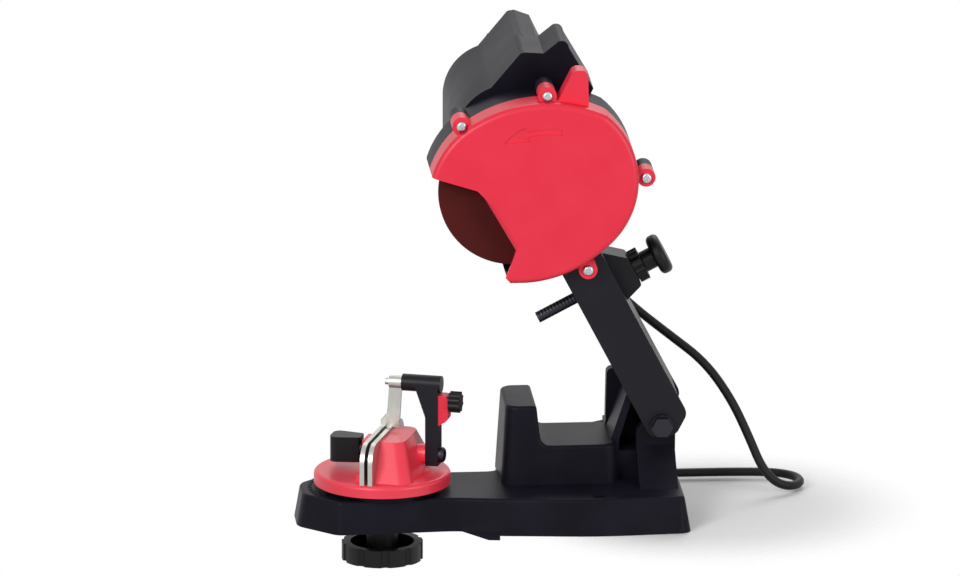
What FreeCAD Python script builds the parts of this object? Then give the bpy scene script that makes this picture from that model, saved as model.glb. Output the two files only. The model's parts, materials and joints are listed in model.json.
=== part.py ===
import FreeCAD, Part
import math
import os
from FreeCAD import Vector

os.makedirs("parts", exist_ok=True)

# Bench chain sharpener. Millimetres, +X from the vise to the hinge, +Y away from the operator's side, +Z up.
# The origin is the middle of the two bench bolt holes, on the base's underside.

# Clearances
RUN_GAP = 0.05
MOVE_GAP = 0.4
SEAT_GAP = 0.05

# Base moulding
BASE_TOP = 25.5
BASE_DRAFT = 4.5
BASE_EDGE_R = 2.5
BASE_WALL = 3.5
NOSE_X = -211.0
NOSE_HALF = 44.0
NOSE_CHAMFER = 27.0
NOSE_CORNER_R = 10.0
NOSE_TIP_R = 16.0
NECK_X = -103.0
NECK_HALF = 39.0
REAR_START_X = -67.0
REAR_END_X = 64.0
REAR_HALF = 62.0
REAR_BULGE = 69.0
REAR_CORNER_R = 8.0
FRONT_LIFT = 2.5
LIP_DROP = 3.5
LIP_LENGTH = 8.0
LIP_TAPER = 22.0
RIB_PITCH = 26.0
RIB_T = 3.0
BENCH_HOLE_D = 8.0
BENCH_HOLE_SPACING = 110.0
BENCH_BOSS_D = 18.0

# Pedestal: stop anvil, saddle and hinge tower
ANVIL_X = -66.0
ANVIL_LENGTH = 25.0
ANVIL_TOP = 81.5
SADDLE_TOP = 53.0
PEDESTAL_NEAR_Y = -22.0
PEDESTAL_FAR_Y = 45.0
PEDESTAL_END_X = 17.0
PEDESTAL_DRAFT = 3.5
PEDESTAL_CORNER_R = 9.0
EAR_T = 9.0
EAR_R = 10.0
NEAR_EAR_X = 30.0
FAR_EAR_X = 11.0
FAR_EAR_TOP = 94.0
EAR_END_X = 57.0
BUTTRESS_OUT = 36.0
BUTTRESS_TOP = 49.0
SHIELD_T = 5.0
SHIELD_TOP = 86.0

# Hinge and arm
HINGE_X = 47.5
HINGE_Z = 64.0
HINGE_BOLT_D = 8.0
HINGE_HEAD_ACROSS = 13.0
HINGE_HEAD_T = 5.3
HINGE_NUT_T = 6.5
WASHER_D = 16.0
WASHER_T = 1.6
ARM_LEAN = 27.5
ARM_NEAR_Y = -12.0
ARM_WIDTH = 58.0
ARM_WALL = 3.5
ARM_FRONT = 11.0
ARM_BACK = 20.0
ARM_HOLLOW_TOP = 126.0
ARM_TOP = 178.0
ARM_CORNER_R = 5.0
SPRING_WIRE_D = 2.4
SPRING_COIL_D = 19.0
SPRING_TURNS = 5

# Depth stop
STOP_UP = 103.5
STOP_Y = 17.0
STOP_ROD_D = 8.0
STOP_TIP = 42.0
STOP_BOSS_OUT = 34.0
STOP_BOSS_WIDTH = 24.0
STOP_BOSS_DROP = 11.0
STOP_NUT_D = 24.0
STOP_NUT_T = 7.0
STOP_HUB_D = 15.0
STOP_HUB_T = 8.0
STOP_KNOB_D = 29.0
STOP_KNOB_T = 9.0

# Wheel, arbor and motor
WHEEL_UP = 202.4
WHEEL_FORWARD = 13.0
WHEEL_Y = -17.0
WHEEL_D = 105.0
WHEEL_T = 3.2
WHEEL_BORE = 23.0
ARBOR_FLANGE_D = 36.0
INNER_FLANGE_T = 5.0
OUTER_FLANGE_T = 4.0
ARBOR_NUT_ACROSS = 13.0
ARBOR_NUT_T = 6.0
SHAFT_D = 8.0
SHAFT_SPARE = 2.0
BEARING_D = 22.0
BEARING_T = 7.0
ROTOR_D = 42.0
ROTOR_T = 46.0
COMMUTATOR_D = 22.0
COMMUTATOR_T = 14.0
FAN_D = 58.0
FAN_T = 8.0
FAN_BLADES = 10
STATOR_T = 54.0
AIR_GAP = 0.8
BRUSH_WIDTH = 6.0
BRUSH_LENGTH = 10.0

# Wheel cover and guard ring
COVER_DEPTH = 24.0
COVER_FRONT = 20.0
COVER_WALL = 3.0
COVER_EDGE_R = 4.0
GUARD_DEPTH = 30.0
# Outline, screw ears and horn: each point is an angle about the wheel and a distance beyond the wheel's rim
GUARD_START = (163.66, 7.94)
GUARD_ARCS = [((141.42, 7.63), (116.57, 7.87)), ((82.27, 14.41), (41.94, 33.54)),
              ((9.19, 35.13), (-32.33, 21.35)), ((-53.62, 14.94), (-82.67, 10.21))]
GUARD_LOWER = [(-115.75, 16.56), (-152.65, 12.8)]
SCREW_EARS = [(126.5, 9.7), (71.93, 21.66), (6.49, 40.4), (-46.98, 23.28)]
WHEEL_ROOM = 2.0
PARTITION_T = 6.0
EAR_HOLE_D = 4.2
SCREW_EAR_R = 6.5
SCREW_EAR_T = 15.0
SCREW_HEAD_D = 7.2
SCREW_HEAD_T = 2.6
SCREW_LENGTH = 24.0
HORN_TIP = (60.89, 43.08)
HORN_TIP_R = 5.0
HORN_ROOT = [(65.7, 15.53), (48.12, 25.4)]
ARROW_DEPTH = 1.2

# Motor housing
HOUSING_WALL = 3.0
BARREL_R = 38.0
BARREL_RISE = 30.0
SHOULDER_IN = 5.0
SHOULDER_RISE = 48.8
FRONT_HALF_T = 50.0
REAR_HALF_T = 75.0
SEAM_STEP = 0.6
HOUSING_SCREW_D = 4.0
HOUSING_SCREW_HEAD_D = 7.0
HOUSING_SCREW_HEAD_T = 2.4
HOUSING_SCREW_SINK = 8.0
VENT_COUNT = 12
VENT_WIDTH = 3.0
SWITCH_WIDTH = 15.0
SWITCH_HEIGHT = 21.0
SWITCH_BEZEL = 2.5
SWITCH_DEPTH = 18.0
SWITCH_POS = (4.0, 60.0)

# Vise
VISE_X = -149.5
VISE_TURN = 18.5
VISE_PAD_D = 80.0
VISE_PAD_T = 3.7
DISC_D = 96.0
DISC_T = 8.5
DISC_EDGE_R = 3.0
RAIL_T = 3.2
RAIL_GAP = 2.6
RAIL_LENGTH = 92.0
RAIL_TOP = 66.0
RAIL_CORNER_R = 16.0
HUMP_OUT = 30.0
HUMP_DROP = 2.0
HUMP_LENGTH = 78.0
HUMP_TOP_LENGTH = 44.0
HUMP_TOP_OUT = 21.0
RAIL_SCREW_D = 4.0
RAIL_SCREW_SPREAD = 30.0
RAIL_SCREW_Z = 50.0
RAIL_SCREW_HEAD_D = 7.0
RAIL_SCREW_HEAD_T = 2.4
RAIL_SCREW_LENGTH = 18.0
CLAMP_Z = 52.5
CLAMP_SCREW_D = 6.0
CLAMP_HUB_D = 12.0
CLAMP_HUB_T = 3.0
CLAMP_WING = 20.0
CLAMP_WING_T = 18.0
CLAMP_WING_OUT = 21.0
BRACKET_ALONG = 8.0
BRACKET_WIDTH = 12.0
BRACKET_X = 30.5
BRACKET_T = 9.0
BRACKET_FOOT_Z = 42.0
GUSSET_OUT = 8.0
GUSSET_DROP = 26.0
BARREL_Z = 100.0
BARREL_D = 12.0
BARREL_START = 13.0
BRACKET_BOLT_D = 6.0
BRACKET_BOLT_Z = 49.0
BRACKET_HEAD_D = 11.0
BRACKET_HEAD_T = 4.0
BRACKET_BOLT_LENGTH = 20.0
PAWL_T = 2.5
PAWL_WIDTH = 9.0
PAWL_FOOT_WIDTH = 13.5
PAWL_FOOT_RIGHT = 10.8
PAWL_PIN_D = 5.0
PAWL_FOOT_HEIGHT = 5.0
PAWL_LIFT_GAP = 1.2
ADJUSTER_T = 7.0
ADJUSTER_WIDTH = 10.0
ADJUSTER_Z = 82.0
ADJUSTER_HEIGHT = 22.0
ADJUSTER_SCREW_D = 5.0
ADJUSTER_KNOB_D = 15.0
ADJUSTER_KNOB_T = 8.0
ADJUSTER_KNOB_Z = 88.0

# Vise lock knob
STUD_D = 8.0
STUD_WASHER_D = 24.0
KNOB_D = 57.0
KNOB_RIM_T = 12.3
KNOB_WALL = 3.0
KNOB_BOTTOM = -26.3
KNOB_HUB_D = 22.0
KNOB_LOBES = 10
KNOB_LOBE_R = 3.5

# Power cord: strain relief, free stretch, coil, tie and plug
CORD_D = 6.3
RELIEF_ANGLE = -50.0
RELIEF_Y = 77.0
RELIEF_LENGTH = 34.0
RELIEF_BASE_D = 14.0
RELIEF_TIP_D = 9.0
CORD_FREE = [(0.0, 77.0, 169.0), (15.0, 76.0, 147.0), (35.0, 73.0, 127.5), (60.0, 66.0, 108.5),
             (84.0, 57.0, 91.0), (102.0, 47.5, 66.0), (114.0, 38.5, 40.0), (122.0, 32.5, 20.0),
             (132.0, 30.5, 8.5), (144.0, 34.0, 4.5), (152.0, 46.0, 4.5), (149.0, 62.0, 4.5),
             (136.0, 73.0, 4.5), (112.0, 76.0, 4.5), (80.0, 77.0, 4.45)]
COIL_X = 0.0
COIL_NEAR_Y = 77.0
COIL_INNER_R = 23.0
COIL_STEP = 8.4
COIL_TURNS = 3
COIL_LIFT = 1.3
COIL_LAYER = 7.4
COIL_TAIL = 14.0
TIE_T = 0.8
TIE_WIDTH = 6.0
PLUG_LENGTH = 32.0
PLUG_WIDTH = 24.0
PLUG_HEIGHT = 13.0
PLUG_NECK = 10.0
PIN_D = 4.0
PIN_LENGTH = 19.0
PIN_SPACING = 18.6

# Places worked out from the driving sizes
X_AXIS = Vector(1, 0, 0)
Y_AXIS = Vector(0, 1, 0)
Z_AXIS = Vector(0, 0, 1)
LEAN_SIN = math.sin(math.radians(ARM_LEAN))
LEAN_COS = math.cos(math.radians(ARM_LEAN))
WHEEL_X = HINGE_X - WHEEL_FORWARD * LEAN_COS - WHEEL_UP * LEAN_SIN
WHEEL_Z = HINGE_Z - WHEEL_FORWARD * LEAN_SIN + WHEEL_UP * LEAN_COS
COVER_Y = WHEEL_Y - COVER_FRONT
GUARD_Y = COVER_Y + COVER_DEPTH
HOUSING_Y = GUARD_Y + GUARD_DEPTH
SEAM_Y = HOUSING_Y + FRONT_HALF_T
HOUSING_END_Y = SEAM_Y + REAR_HALF_T
ARM_FAR_Y = ARM_NEAR_Y + ARM_WIDTH
EAR_NEAR_Y = ARM_NEAR_Y + ARM_WALL + MOVE_GAP
EAR_FAR_Y = ARM_FAR_Y - ARM_WALL - MOVE_GAP
DISC_Z = BASE_TOP + VISE_PAD_T + MOVE_GAP
DISC_TOP = DISC_Z + DISC_T
COIL_OUTER_R = COIL_INNER_R + COIL_STEP * COIL_TURNS
COIL_Y = COIL_NEAR_Y + COIL_OUTER_R
parts = {}


# Shape helpers
def base_xy(z):
    return lambda x, y: Vector(x, y, z)


def side_xz(y):
    return lambda x, z: Vector(x, y, z)


def head_xz(y):
    return lambda dx, dz: Vector(WHEEL_X + dx, y, WHEEL_Z + dz)


def arm_nu(y):
    return lambda n, u: Vector(HINGE_X + n * LEAN_COS - u * LEAN_SIN, y, HINGE_Z + n * LEAN_SIN + u * LEAN_COS)


def rounded_loop(corners, place):
    """Close a loop through (a, b) or (a, b, radius) corners, each radius limited by its two sides."""
    points = [place(c[0], c[1]) for c in corners]
    radii = [c[2] if len(c) > 2 else 0.0 for c in corners]
    count = len(points)
    starts = []
    ends = []
    arcs = []
    for i in range(count):
        corner = points[i]
        back = points[i - 1] - corner
        ahead = points[(i + 1) % count] - corner
        if radii[i] == 0:
            starts.append(corner)
            ends.append(corner)
            arcs.append(None)
            continue
        half = back.getAngle(ahead) / 2
        reach = min(radii[i] / math.tan(half), 0.48 * back.Length, 0.48 * ahead.Length)
        radius = reach * math.tan(half)
        into = corner + back / back.Length * reach
        out = corner + ahead / ahead.Length * reach
        bisector = back / back.Length + ahead / ahead.Length
        middle = corner + bisector / bisector.Length * (radius / math.sin(half) - radius)
        starts.append(into)
        ends.append(out)
        arcs.append(Part.Arc(into, middle, out).toShape())
    edges = []
    for i in range(count):
        if arcs[i]:
            edges.append(arcs[i])
        following = starts[(i + 1) % count]
        if (following - ends[i]).Length > 1e-6:
            edges.append(Part.LineSegment(ends[i], following).toShape())
    return Part.Wire(edges)


def arc_loop(start, steps, place):
    """Close a loop of arcs (middle a, middle b, end a, end b) and straight steps (a, b) from a start point."""
    edges = []
    here = place(*start)
    for step in steps + [start]:
        there = place(*step[-2:])
        if len(step) == 4:
            edges.append(Part.Arc(here, place(*step[:2]), there).toShape())
        elif (there - here).Length > 1e-6:
            edges.append(Part.LineSegment(here, there).toShape())
        here = there
    return Part.Wire(edges)


def slab(wire, along):
    return Part.Face(wire).extrude(along)


def block(x0, x1, y0, y1, z0, z1):
    return Part.makeBox(x1 - x0, y1 - y0, z1 - z0, Vector(x0, y0, z0))


def rod(diameter, start, end):
    along = end - start
    return Part.makeCylinder(diameter / 2, along.Length, start, along)


def tube(outer, inner, start, end):
    return rod(outer, start, end).cut(rod(inner, start, end))


def hexagon(across, start, end):
    along = end - start
    axis = along / along.Length
    side = axis.cross(Z_AXIS if abs(axis.z) < 0.9 else X_AXIS)
    side.normalize()
    other = axis.cross(side)
    radius = across / math.sqrt(3)
    corners = []
    for i in range(7):
        turn = math.radians(60 * i)
        corners.append(start + side * (radius * math.cos(turn)) + other * (radius * math.sin(turn)))
    return slab(Part.makePolygon(corners), along)


def pan_screw(head_at, axis, head_d, head_t, shank_d, length):
    """A screw with a rounded head and a cross recess; the axis points from the head into the work."""
    back = head_at - axis * head_t
    head = Part.makeCylinder(head_d / 2, head_t, back, axis)
    rim = [e for e in head.Edges if len(e.Vertexes) == 1 and (e.CenterOfMass - back).Length < 1e-3]
    head = head.makeFillet(head_t * 0.6, rim)
    shank = Part.makeCylinder(shank_d / 2, length, head_at, axis)
    side = axis.cross(Z_AXIS if abs(axis.z) < 0.9 else X_AXIS)
    side.normalize()
    slot_l = head_d * 0.55
    slot_w = head_d * 0.16
    cross = []
    for turn in (45, 135):
        bar = Part.makeBox(slot_l, slot_w, head_t * 0.55, Vector(-slot_l / 2, -slot_w / 2, 0))
        bar.rotate(Vector(0, 0, 0), Z_AXIS, turn)
        bar.Placement = FreeCAD.Placement(back, FreeCAD.Rotation(Z_AXIS, axis)).multiply(bar.Placement)
        cross.append(bar)
    return head.fuse(shank).cut(cross).removeSplitter()


def lobed(diameter, lobes, lobe_r, start, end):
    """A round knob with scallops cut evenly round its rim."""
    along = end - start
    body = rod(diameter, start, end)
    axis = along / along.Length
    side = axis.cross(Z_AXIS if abs(axis.z) < 0.9 else X_AXIS)
    side.normalize()
    other = axis.cross(side)
    cuts = []
    for i in range(lobes):
        turn = 2 * math.pi * i / lobes
        radius = diameter / 2 + lobe_r * 0.55
        middle = start + side * (radius * math.cos(turn)) + other * (radius * math.sin(turn))
        cuts.append(Part.makeCylinder(lobe_r, along.Length, middle, along))
    return body.cut(cuts)


def biarc(start, start_dir, end, end_dir):
    """Two arcs that leave start and reach end along the given unit directions, tangent where they join."""
    gap = end - start
    both = start_dir + end_dir
    lean = 2 * (1 - start_dir.dot(end_dir))
    along = gap.dot(both)
    if lean < 1e-9:
        reach = gap.dot(gap) / (4 * gap.dot(start_dir))
    else:
        reach = (-along + math.sqrt(along * along + lean * gap.dot(gap))) / lean
    first = start + start_dir * reach
    second = end - end_dir * reach
    join = (first + second) / 2
    edges = []
    for a, q, b in ((start, first, join), (join, second, end)):
        half = (b - a).Length / 2
        cosine = half / (q - a).Length
        chord_mid = (a + b) / 2
        middle = chord_mid + (q - chord_mid) * (cosine / (1 + cosine))
        edges.append(Part.Arc(a, middle, b).toShape())
    return edges


def swept(edges, diameter):
    """A round tube along a chain of edges."""
    path = Part.Wire(edges)
    start = edges[0].valueAt(edges[0].FirstParameter)
    heading = edges[0].tangentAt(edges[0].FirstParameter)
    profile = Part.Wire([Part.makeCircle(diameter / 2, start, heading)])
    return path.makePipeShell([profile], True, False)


def least_self_gap(edges, diameter, apart):
    """The least gap between stretches of a tube that are more than `apart` of its length from each other."""
    places = []
    walked = 0.0
    for edge in edges:
        for point in edge.discretize(Number=13)[:-1]:
            places.append((walked + (point - edge.valueAt(edge.FirstParameter)).Length, point))
        walked += edge.Length
    least = 1e9
    for i, (si, p) in enumerate(places):
        for sj, q in places[i + 1:]:
            if sj - si > apart:
                least = min(least, (p - q).Length)
    return least - diameter


# Base moulding: a drafted tray with a rib grid below, a bench lip, the stop anvil, a saddle and the hinge tower
def base_plan(z, inset):
    near_nose = WHEEL_Y - NOSE_HALF
    far_nose = WHEEL_Y + NOSE_HALF
    near_neck = WHEEL_Y - NECK_HALF
    far_neck = WHEEL_Y + NECK_HALF
    middle_x = (REAR_START_X + REAR_END_X) / 2
    wire = rounded_loop([
        (NOSE_X, near_nose + NOSE_CHAMFER, NOSE_TIP_R),
        (NOSE_X + NOSE_CHAMFER, near_nose, NOSE_CORNER_R),
        (NECK_X, near_neck, 60.0),
        (REAR_START_X, -REAR_HALF, 60.0),
        (middle_x, -REAR_BULGE, 220.0),
        (REAR_END_X, -REAR_HALF - 2.0, REAR_CORNER_R),
        (REAR_END_X, REAR_HALF + 2.0, REAR_CORNER_R),
        (middle_x, REAR_BULGE, 220.0),
        (REAR_START_X, REAR_HALF, REAR_CORNER_R),
        (REAR_START_X, far_neck, REAR_CORNER_R),
        (NECK_X, far_neck, 60.0),
        (NOSE_X + NOSE_CHAMFER, far_nose, NOSE_CORNER_R),
        (NOSE_X, far_nose - NOSE_CHAMFER, NOSE_TIP_R),
    ], base_xy(z))
    if inset == 0:
        return wire
    return wire.makeOffset2D(-inset)


def tray():
    body = Part.makeLoft([base_plan(0, 0), base_plan(BASE_TOP, BASE_DRAFT)], True, True)
    rim = [e for e in body.Edges if e.BoundBox.ZMin > BASE_TOP - 1e-3]
    body = body.makeFillet(BASE_EDGE_R, rim)
    lip_back = REAR_START_X - 3
    side = REAR_BULGE + 10
    body = body.cut(block(NOSE_X - 1, lip_back, -side, side, -1, FRONT_LIFT))
    lip = slab(base_plan(-LIP_DROP, 1.0), Vector(0, 0, LIP_DROP + FRONT_LIFT + 1))
    wedge = slab(rounded_loop([
        (lip_back - LIP_LENGTH - LIP_TAPER, FRONT_LIFT + 1), (lip_back - LIP_LENGTH, -LIP_DROP),
        (lip_back, -LIP_DROP), (lip_back, FRONT_LIFT + 1),
    ], side_xz(-side)), Vector(0, 2 * side, 0))
    return body.fuse(lip.common(wedge))


def rib_cells():
    """The pockets between the ribs under the tray, clear of the bolt bosses and the stud boss."""
    depth = BASE_TOP - BASE_WALL + LIP_DROP + 1
    room = slab(base_plan(-LIP_DROP - 1, BASE_DRAFT + BASE_WALL), Vector(0, 0, depth))
    half = (RIB_PITCH - RIB_T) / 2
    lip_back = REAR_START_X - 3
    lip_front = lip_back - LIP_LENGTH - LIP_TAPER
    cells = []
    for i in range(math.floor(NOSE_X / RIB_PITCH), math.ceil(REAR_END_X / RIB_PITCH) + 1):
        for j in range(-math.ceil(REAR_BULGE / RIB_PITCH), math.ceil(REAR_BULGE / RIB_PITCH) + 1):
            x = i * RIB_PITCH
            y = j * RIB_PITCH
            if x - half < lip_back + RIB_T and x + half > lip_front - RIB_T:
                continue
            cell = block(x - half, x + half, y - half, y + half, -LIP_DROP - 1, BASE_TOP).common(room)
            if cell.Volume > 1500:
                cells.append(cell)
    bosses = []
    for y in (-BENCH_HOLE_SPACING / 2, BENCH_HOLE_SPACING / 2):
        bosses.append(rod(BENCH_BOSS_D, Vector(0, y, -9), Vector(0, y, 60)))
    bosses.append(rod(KNOB_HUB_D + 8, Vector(VISE_X, WHEEL_Y, -9), Vector(VISE_X, WHEEL_Y, 60)))
    return [cell.cut(bosses) for cell in cells]


def pedestal():
    def plan(z, inset):
        return rounded_loop([
            (ANVIL_X + inset, PEDESTAL_NEAR_Y + inset, PEDESTAL_CORNER_R),
            (PEDESTAL_END_X - inset, PEDESTAL_NEAR_Y + inset, PEDESTAL_CORNER_R),
            (PEDESTAL_END_X - inset, PEDESTAL_FAR_Y - inset, PEDESTAL_CORNER_R),
            (ANVIL_X + inset, PEDESTAL_FAR_Y - inset, PEDESTAL_CORNER_R),
        ], base_xy(z))
    foot = BASE_TOP - 2
    body = Part.makeLoft([plan(foot, 0), plan(ANVIL_TOP, PEDESTAL_DRAFT)], True, True)
    saddle = slab(rounded_loop([
        (ANVIL_X + ANVIL_LENGTH - 1, ANVIL_TOP + 9),
        (ANVIL_X + ANVIL_LENGTH + 3, SADDLE_TOP, 7.0),
        (PEDESTAL_END_X + 40, SADDLE_TOP),
        (PEDESTAL_END_X + 40, ANVIL_TOP + 9),
    ], side_xz(-200)), Vector(0, 400, 0))
    body = body.cut(saddle)
    rims = [e for e in body.Edges if e.BoundBox.ZMin > SADDLE_TOP - 1e-3 and e.BoundBox.ZLength < 1e-3]
    return body.makeFillet(BASE_EDGE_R, rims)


def tower():
    foot = BASE_TOP - 2
    boss_x = HINGE_X + EAR_R
    near = slab(rounded_loop([
        (NEAR_EAR_X, foot), (EAR_END_X, foot), (boss_x, HINGE_Z, 3.0), (HINGE_X + 4, HINGE_Z + EAR_R, 8.0),
        (HINGE_X - 6, HINGE_Z + EAR_R, 8.0), (NEAR_EAR_X, HINGE_Z - 4, 4.0),
    ], side_xz(EAR_NEAR_Y)), Vector(0, EAR_T, 0))
    far = slab(rounded_loop([
        (FAR_EAR_X, foot), (EAR_END_X, foot), (boss_x, HINGE_Z, 3.0), (HINGE_X + 4, HINGE_Z + EAR_R, 8.0),
        (FAR_EAR_X + 13, FAR_EAR_TOP, 5.0), (FAR_EAR_X + 1.5, FAR_EAR_TOP, 4.0),
    ], side_xz(EAR_FAR_Y - EAR_T)), Vector(0, EAR_T, 0))
    shield = slab(rounded_loop([
        (FAR_EAR_X + 1, foot), (FAR_EAR_X + 1 + SHIELD_T, foot), (FAR_EAR_X + 2 + SHIELD_T, SADDLE_TOP),
        (FAR_EAR_X + 12 + SHIELD_T, SHIELD_TOP), (FAR_EAR_X + 12, SHIELD_TOP, 2.0),
        (FAR_EAR_X + 1, SADDLE_TOP, 6.0),
    ], side_xz(EAR_NEAR_Y + 1)), Vector(0, EAR_FAR_Y - EAR_NEAR_Y - 2, 0))
    floor = block(FAR_EAR_X + 2, EAR_END_X, EAR_NEAR_Y + 1, EAR_FAR_Y - 1, foot, HINGE_Z - SPRING_COIL_D)
    webs = []
    for edge_y, out in ((EAR_NEAR_Y, -1), (EAR_FAR_Y, 1)):
        reach = BUTTRESS_OUT if out < 0 else REAR_HALF - BASE_DRAFT - EAR_FAR_Y - 4
        low = Vector(NEAR_EAR_X, edge_y + out * reach, foot)
        high = Vector(NEAR_EAR_X, edge_y, BUTTRESS_TOP)
        inner = Vector(NEAR_EAR_X, edge_y - out, BUTTRESS_TOP)
        heel = Vector(NEAR_EAR_X, edge_y - out, foot)
        bow = Vector(NEAR_EAR_X, edge_y + out * reach * 0.55, foot + (BUTTRESS_TOP - foot) * 0.36)
        edges = [Part.Arc(low, bow, high).toShape(), Part.LineSegment(high, inner).toShape(),
                 Part.LineSegment(inner, heel).toShape(), Part.LineSegment(heel, low).toShape()]
        webs.append(slab(Part.Wire(edges), Vector(EAR_END_X - NEAR_EAR_X, 0, 0)))
    return near.fuse([far, shield, floor] + webs)


def base_moulding():
    pad = rod(VISE_PAD_D, Vector(VISE_X, WHEEL_Y, BASE_TOP - 1), Vector(VISE_X, WHEEL_Y, BASE_TOP + VISE_PAD_T))
    body = tray().fuse([pedestal(), tower(), pad])
    holes = rib_cells()
    for s in (-1, 1):
        y = s * BENCH_HOLE_SPACING / 2
        holes.append(rod(BENCH_HOLE_D, Vector(0, y, -9), Vector(0, y, 60)))
    holes.append(rod(STUD_D + 2 * RUN_GAP, Vector(VISE_X, WHEEL_Y, -9), Vector(VISE_X, WHEEL_Y, 60)))
    holes.append(rod(HINGE_BOLT_D + 2 * SEAT_GAP, Vector(HINGE_X, -100, HINGE_Z), Vector(HINGE_X, 100, HINGE_Z)))
    return body.cut(holes).removeSplitter()


parts["base"] = base_moulding()


# Hinge: a hex bolt through both ears and both arm plates, with washers and a nut, and the return spring
def on_hinge(y):
    return Vector(HINGE_X, y, HINGE_Z)


near_washer_y = ARM_NEAR_Y - MOVE_GAP
far_washer_y = ARM_FAR_Y + MOVE_GAP
bolt_face = near_washer_y - WASHER_T
nut_face = far_washer_y + WASHER_T
parts["hinge_bolt"] = hexagon(HINGE_HEAD_ACROSS, on_hinge(bolt_face - HINGE_HEAD_T), on_hinge(bolt_face)).fuse(
    rod(HINGE_BOLT_D, on_hinge(bolt_face), on_hinge(nut_face + HINGE_NUT_T + 2.5)))
washer_bore = HINGE_BOLT_D + 2 * SEAT_GAP
parts["hinge_washers"] = Part.makeCompound([
    tube(WASHER_D, washer_bore, on_hinge(near_washer_y - WASHER_T), on_hinge(near_washer_y)),
    tube(WASHER_D, washer_bore, on_hinge(far_washer_y), on_hinge(far_washer_y + WASHER_T))])
parts["hinge_nut"] = hexagon(HINGE_HEAD_ACROSS, on_hinge(nut_face), on_hinge(nut_face + HINGE_NUT_T)).cut(
    rod(washer_bore, on_hinge(nut_face - 1), on_hinge(nut_face + HINGE_NUT_T + 1)))


def return_spring():
    """A torsion spring round the hinge bolt: half turns as biarcs, and a straight leg at each end."""
    radius = SPRING_COIL_D / 2
    pitch = SPRING_WIRE_D + 0.8
    middle_y = (EAR_NEAR_Y + EAR_FAR_Y) / 2
    first_y = middle_y - pitch * SPRING_TURNS / 2

    def at(half_turns):
        turn = math.pi * half_turns + math.radians(ARM_LEAN)
        spot = Vector(HINGE_X + radius * math.cos(turn), first_y + pitch * half_turns / 2,
                      HINGE_Z + radius * math.sin(turn))
        heading = Vector(-math.sin(turn) * math.pi * radius, pitch / 2, math.cos(turn) * math.pi * radius)
        return spot, heading / heading.Length

    edges = []
    for i in range(2 * SPRING_TURNS + 1):
        edges += biarc(*at(i), *at(i + 1))
    start, start_dir = at(0)
    end, end_dir = at(2 * SPRING_TURNS + 1)
    edges.insert(0, Part.LineSegment(start - start_dir * SPRING_WIRE_D * 2, start).toShape())
    edges.append(Part.LineSegment(end, end + end_dir * SPRING_WIRE_D * 2).toShape())
    print("return spring gap", round(least_self_gap(edges, SPRING_WIRE_D, math.pi * radius), 2))
    return swept(edges, SPRING_WIRE_D)


parts["return_spring"] = return_spring()


# Head outlines about the wheel axis: the guard outline, its lower left cut-out and the motor housing profile
def beyond_rim(angle, out):
    turn = math.radians(angle)
    radius = WHEEL_D / 2 + out
    return radius * math.cos(turn), radius * math.sin(turn)


def guard_outline(y):
    steps = [(*beyond_rim(*middle), *beyond_rim(*end)) for middle, end in GUARD_ARCS]
    steps += [beyond_rim(*corner) for corner in GUARD_LOWER]
    return arc_loop(beyond_rim(*GUARD_START), steps, head_xz(y))


def guard_cutout(y, depth):
    return slab(arc_loop((-90.0, 25.5), [
        (-52.7, 13.7), (-26.5, 5.4), (-22.7, 1.4), (0.4, -38.5), (-1.2, -43.5), (-6.6, -57.9), (-3.6, -61.3),
        (-3.6, -90.0), (-90.0, -90.0),
    ], head_xz(y)), Vector(0, depth, 0))


def front_profile(y):
    low = BARREL_R * math.sqrt(0.5)
    return arc_loop((-BARREL_R, 0.0), [
        (-BARREL_R, BARREL_RISE), (SHOULDER_IN - BARREL_R, SHOULDER_RISE, -13.0, 65.7), (5.8, 87.8), (8.3, 90.2, 12.0, 90.8),
        (24.0, 90.0), (33.0, 97.1), (38.4, 98.4, 41.6, 93.9), (59.0, 64.0), (40.0, 25.0), (BARREL_R, 0.0),
        (low, -low, 0.0, -BARREL_R), (-low, -low, -BARREL_R, 0.0),
    ], head_xz(y))


def rear_profile(y):
    radius = BARREL_R - SEAM_STEP
    low = radius * math.sqrt(0.5)
    return arc_loop((-radius, 0.0), [
        (-radius, BARREL_RISE), (SHOULDER_IN - radius, SHOULDER_RISE, -12.6, 65.2), (8.3, 90.2), (13.0, 91.0), (23.7, 87.0),
        (30.7, 72.3), (36.0, 50.0), (radius, BARREL_RISE), (radius, 0.0),
        (low, -low, 0.0, -radius), (-low, -low, -radius, 0.0),
    ], head_xz(y))


def on_axis(y):
    return Vector(WHEEL_X, y, WHEEL_Z)


def ear_rods(start_y, end_y, diameter):
    spots = [beyond_rim(*ear) for ear in SCREW_EARS]
    return [rod(diameter, head_xz(start_y)(*spot), head_xz(end_y)(*spot)) for spot in spots]


# Swing arm: two plates and a back web, solid at the top, with the rear boss for the depth stop
def stop_at(n):
    return arm_nu(STOP_Y)(n, STOP_UP)


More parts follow.
